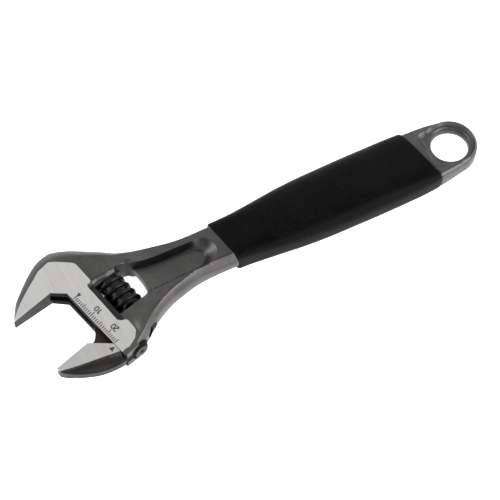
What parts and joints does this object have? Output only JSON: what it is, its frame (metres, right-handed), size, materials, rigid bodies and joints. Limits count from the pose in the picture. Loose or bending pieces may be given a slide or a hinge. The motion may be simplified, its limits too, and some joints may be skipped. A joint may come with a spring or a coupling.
{
  "type": "adjustable wrench",
  "caption": "Adjustable wrench with angled jaws, a thumb worm that drives the movable jaw on a round rack, a soft sleeve grip and a hanging ring.",
  "frame": {"origin": "centre of the hanging hole, on the wrench's mid-plane", "axes": "+X along the handle towards the head, +Y towards the movable jaw's side, +Z out of the front face, along the hanging hole"},
  "size_m": [0.2065, 0.0576, 0.0174],
  "materials": {
    "forged_steel": "dark phosphated forging with ground faces",
    "ground_steel": "ground steel",
    "black_steel": "blackened steel, oiled",
    "pin_steel": "dark steel",
    "spring_steel": "spring wire",
    "sleeve_plastic": "soft matte black plastic with a fine texture"
  },
  "bodies": {
    "frame": {"body": "forged_steel", "worm_pin": "pin_steel", "worm_spring": "spring_steel", "grip_sleeve": "sleeve_plastic"},
    "jaw": {"movable_jaw": "ground_steel"},
    "worm": {"worm": "black_steel"}
  },
  "joints": [
    {"name": "jaw_slide", "type": "slide", "parent": "frame", "child": "jaw", "axis": [-0.2588, 0.9659, 0], "range_m": [-0.0266, 0.0004]},
    {"name": "worm_spin", "type": "hinge", "parent": "frame", "child": "worm", "pos_m": [0.15256, 0.00198, 0], "axis": [-0.2588, 0.9659, 0], "range_deg": [-2738, 44]}
  ],
  "couplings": [
    {"joint": "worm_spin", "follows": "jaw_slide", "rad_per_m": 1795.2}
  ]
}
